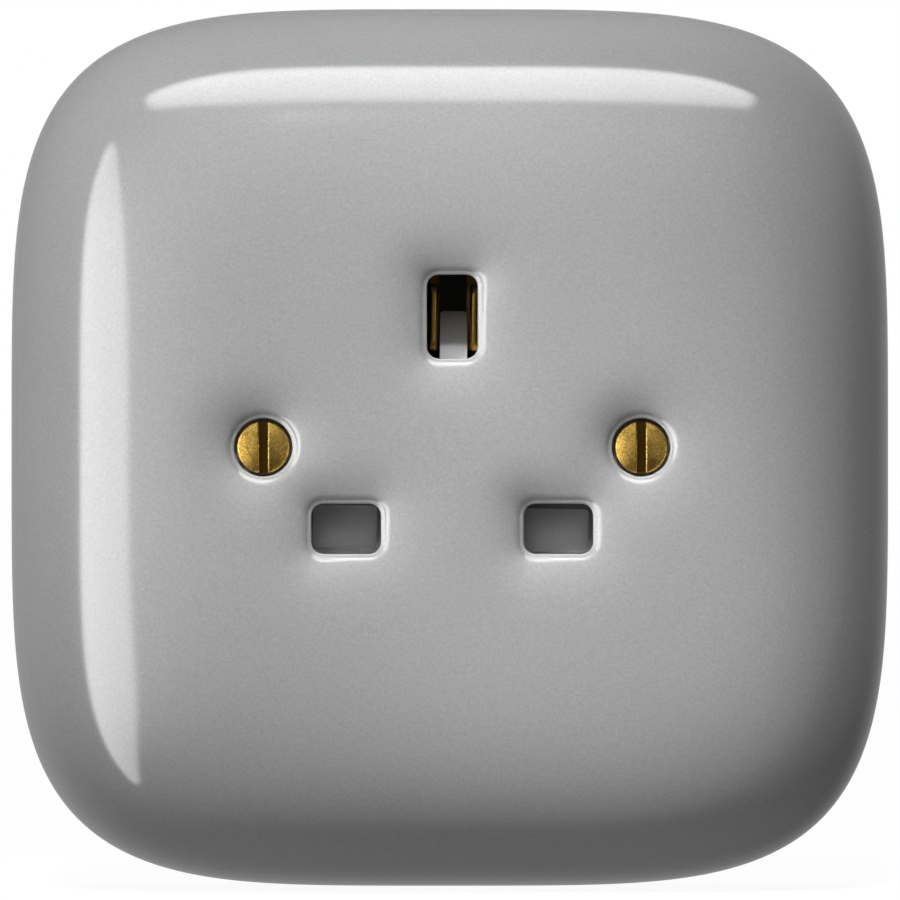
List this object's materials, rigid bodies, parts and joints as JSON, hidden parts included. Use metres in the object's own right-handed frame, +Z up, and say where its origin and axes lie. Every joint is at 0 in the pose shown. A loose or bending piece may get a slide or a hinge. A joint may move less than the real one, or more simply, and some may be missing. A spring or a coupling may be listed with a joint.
{
  "type": "surface-mounted socket outlet",
  "caption": "Square glazed porcelain surface socket with rectangular pin slots, brass cover screws, a black wall plate and a shuttered contact module inside.",
  "frame": {"origin": "midway between the two wall-screw holes, on the wall plane", "axes": "+X to the right and +Z up for someone facing the socket, +Y into the wall, so the face looks along -Y"},
  "size_m": [0.094, 0.043, 0.094],
  "materials": {
    "porcelain": "glossy grey glaze with a fine grain",
    "brass": "turned and stamped, plain",
    "black_moulding": "moulded, fine matt texture",
    "grey_moulding": "moulded, satin",
    "steel": "zinc plated"
  },
  "bodies": {
    "socket": {"porcelain_cover": "porcelain", "cover_screws": "brass", "base_plate": "black_moulding", "pillar_inserts": "brass", "mounting_screws": "steel", "module_body": "black_moulding", "module_cap": "black_moulding", "cap_screws": "steel", "shutter_spring": "steel", "live_contact": "brass", "neutral_contact": "brass", "earth_contact": "brass", "live_terminal": "brass", "neutral_terminal": "brass", "earth_terminal": "brass", "terminal_screws": "brass"},
    "shutter": {"shutter": "grey_moulding"}
  },
  "joints": [
    {"name": "shutter_slide", "type": "slide", "parent": "socket", "child": "shutter", "axis": [-0.0175, 0, -0.9998], "range_m": [0, 0.0048], "stiffness_N_per_m": 100, "springref_m": -0.01, "deforming": ["shutter_spring"]}
  ]
}
